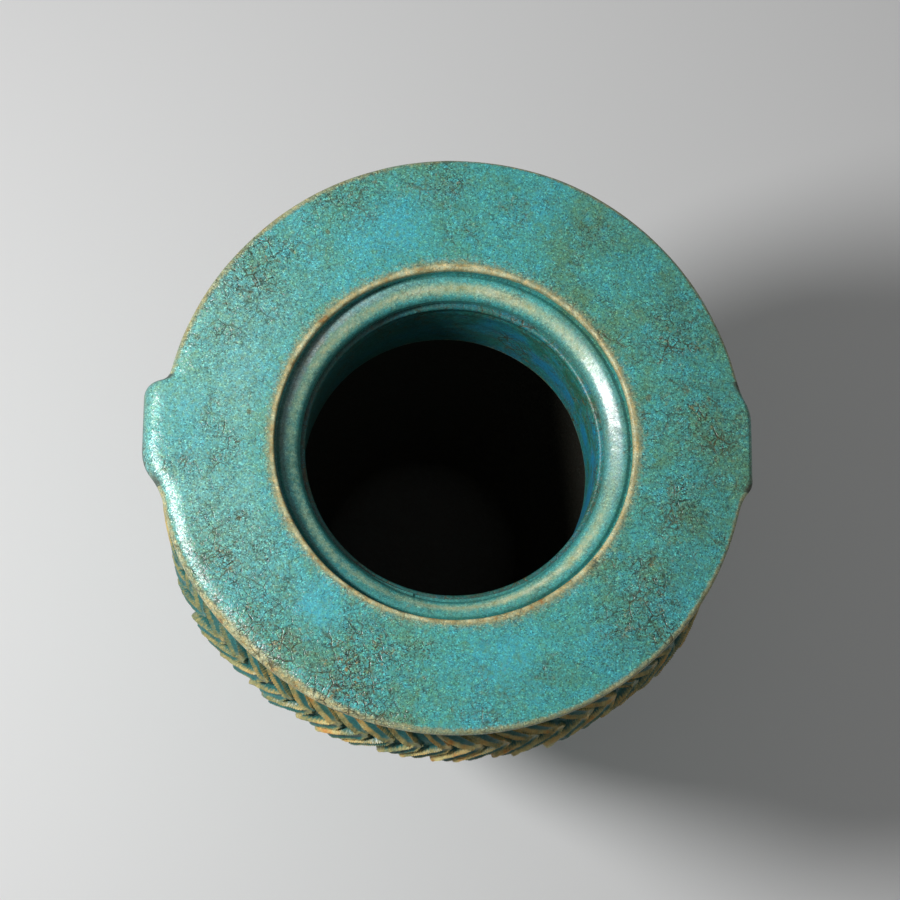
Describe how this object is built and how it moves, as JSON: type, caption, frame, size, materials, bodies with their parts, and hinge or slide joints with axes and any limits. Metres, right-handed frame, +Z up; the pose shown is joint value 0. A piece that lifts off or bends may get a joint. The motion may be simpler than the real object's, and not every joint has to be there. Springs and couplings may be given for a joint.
{
  "type": "egyptian faience jar",
  "caption": "Ovoid glazed faience jar with a wide flat rim, two rim lugs, a recessed mouth with a ledge for a lid, and raised laurel garlands and petals round the body.",
  "frame": {"origin": "centre of the foot's resting face", "axes": "+Z up the jar's axis out of its mouth, the two rim lugs lie along X, and -Y is the front"},
  "size_m": [0.18, 0.1738, 0.204],
  "materials": {
    "rim_glaze": "semi-gloss",
    "body_glaze": "semi-gloss",
    "mouth_glaze": "semi-gloss",
    "ledge_glaze": "semi-gloss",
    "relief_glaze": "semi-gloss"
  },
  "bodies": {
    "root": {"rim_disc": "rim_glaze", "lug_left": "rim_glaze", "lug_right": "rim_glaze", "lower_bowl": "body_glaze", "belly_wall": "body_glaze", "shoulder_wall": "body_glaze", "foot_ring": "body_glaze", "neck_collar": "mouth_glaze", "lid_ledge": "ledge_glaze", "garland_shoulder": "relief_glaze", "garland_belly": "relief_glaze", "calyx_petals": "relief_glaze", "cord_shoulder": "relief_glaze", "cord_belly_top": "relief_glaze", "cord_belly_low": "relief_glaze", "cord_calyx": "relief_glaze"}
  },
  "joints": []
}
